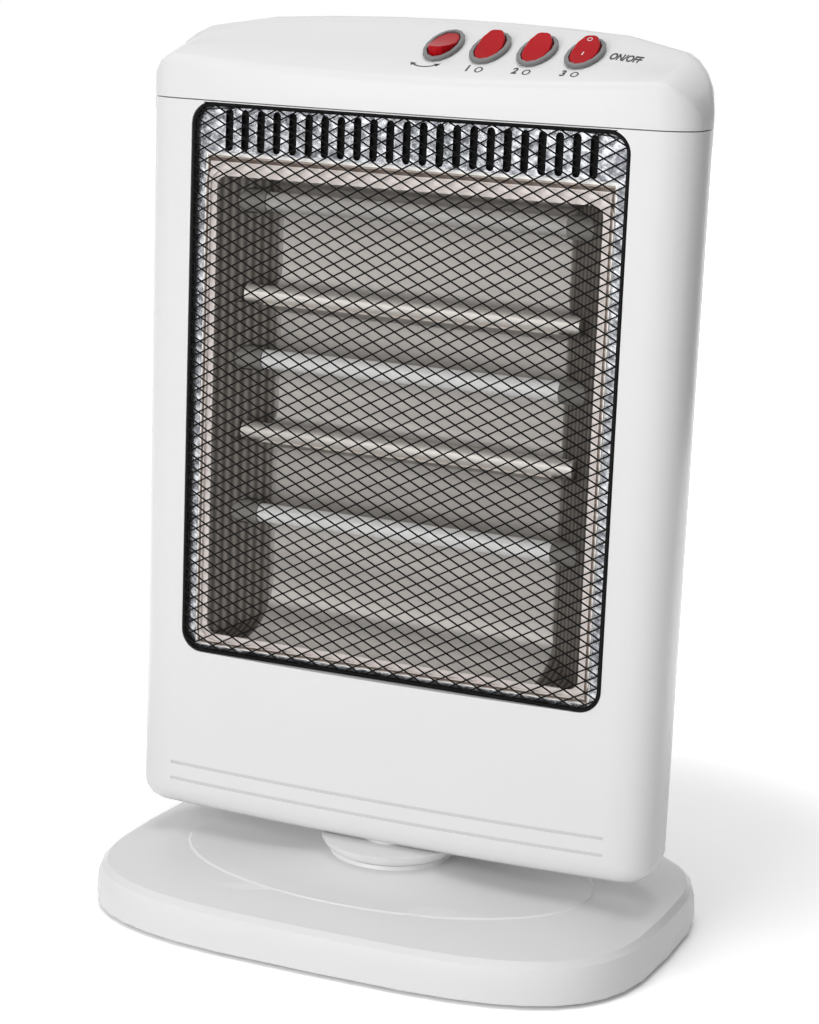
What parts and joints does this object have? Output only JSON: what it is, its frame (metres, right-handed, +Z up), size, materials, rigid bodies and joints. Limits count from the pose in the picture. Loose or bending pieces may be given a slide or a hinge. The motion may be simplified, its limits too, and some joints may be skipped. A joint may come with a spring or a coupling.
{
  "type": "halogen heater",
  "caption": "Oscillating halogen heater: a moulded housing with horizontal lamps before a folded reflector, a wire guard and red rocker switches, on a wide foot.",
  "frame": {"origin": "on the floor under the middle of the foot", "axes": "+X is the right-hand side in a view of the front, +Y points to the rear, +Z up; the front, with the guard and the switches, faces -Y"},
  "size_m": [0.344, 0.244, 0.5225],
  "materials": {
    "white_plastic": "gloss",
    "zinc_steel": "zinc plated",
    "black_rubber": "matt",
    "dark_plastic": "matt",
    "bright_aluminium": "polished",
    "black_wire": "black enamel",
    "lamp_glass": "clear quartz",
    "ceramic": "unglazed",
    "grey_plastic": "satin",
    "red_plastic": "gloss"
  },
  "bodies": {
    "stand": {"foot_cover": "white_plastic", "floor_plate": "zinc_steel", "pad_front_left": "black_rubber", "pad_front_right": "black_rubber", "pad_rear_left": "black_rubber", "pad_rear_right": "black_rubber", "pivot_post": "zinc_steel", "thrust_washer": "zinc_steel", "drive_arm": "zinc_steel", "pivot_nut": "zinc_steel", "tip_switch_body": "dark_plastic"},
    "head": {"collar": "white_plastic", "front_cover": "white_plastic", "rear_cover": "white_plastic", "top_cap": "white_plastic", "lamp_hanger_left": "zinc_steel", "lamp_hanger_right": "zinc_steel", "thermal_cutout": "zinc_steel", "swing_motor": "zinc_steel", "motor_bridge": "zinc_steel", "cord_gland": "dark_plastic", "terminal_block": "dark_plastic", "face_plate": "bright_aluminium", "reflector": "bright_aluminium", "guard_rim": "black_wire", "guard_mesh": "black_wire", "lamp_1": "lamp_glass", "lamp_2": "lamp_glass", "lamp_3": "lamp_glass", "lamp_1_cap_left": "ceramic", "lamp_1_cap_right": "ceramic", "lamp_2_cap_left": "ceramic", "lamp_2_cap_right": "ceramic", "lamp_3_cap_left": "ceramic", "lamp_3_cap_right": "ceramic", "switch_1": "grey_plastic", "switch_2": "grey_plastic", "switch_3": "grey_plastic", "switch_4": "grey_plastic"},
    "tip_plunger": {"tip_plunger": "dark_plastic"},
    "crank": {"swing_crank": "dark_plastic"},
    "rocker_1": {"rocker_1": "red_plastic"},
    "rocker_2": {"rocker_2": "red_plastic"},
    "rocker_3": {"rocker_3": "red_plastic"},
    "rocker_4": {"rocker_4": "red_plastic"}
  },
  "joints": [
    {"name": "head_swing", "type": "hinge", "parent": "stand", "child": "head", "pos_m": [0, -0.01, 0.055], "axis": [0, 0, 1], "range_deg": [-35, 35]},
    {"name": "crank_turn", "type": "hinge", "parent": "head", "child": "crank", "pos_m": [0, 0.023, 0.0698], "axis": [0, 0, 1], "range_deg": [-108.5, 108.5]},
    {"name": "rocker_1_tilt", "type": "hinge", "parent": "head", "child": "rocker_1", "pos_m": [0.009, -0.00059, 0.50705], "axis": [1, 0, -0.0011], "range_deg": [0, 20]},
    {"name": "rocker_2_tilt", "type": "hinge", "parent": "head", "child": "rocker_2", "pos_m": [0.0368, -0.00059, 0.507], "axis": [1, 0, -0.002], "range_deg": [-20, 0]},
    {"name": "rocker_3_tilt", "type": "hinge", "parent": "head", "child": "rocker_3", "pos_m": [0.0646, -0.0006, 0.50695], "axis": [1, 0, -0.0009], "range_deg": [-20, 0]},
    {"name": "rocker_4_tilt", "type": "hinge", "parent": "head", "child": "rocker_4", "pos_m": [0.0924, -0.00061, 0.50695], "axis": [1, 0, 0.0014], "range_deg": [-20, 0]},
    {"name": "plunger_slide", "type": "slide", "parent": "stand", "child": "tip_plunger", "axis": [0, 0, -1], "range_m": [0, 0.004], "stiffness_N_per_m": 40, "springref_m": 0.005}
  ],
  "couplings": [
    {"joint": "crank_turn", "follows": "head_swing", "ratio": -3.0857}
  ]
}
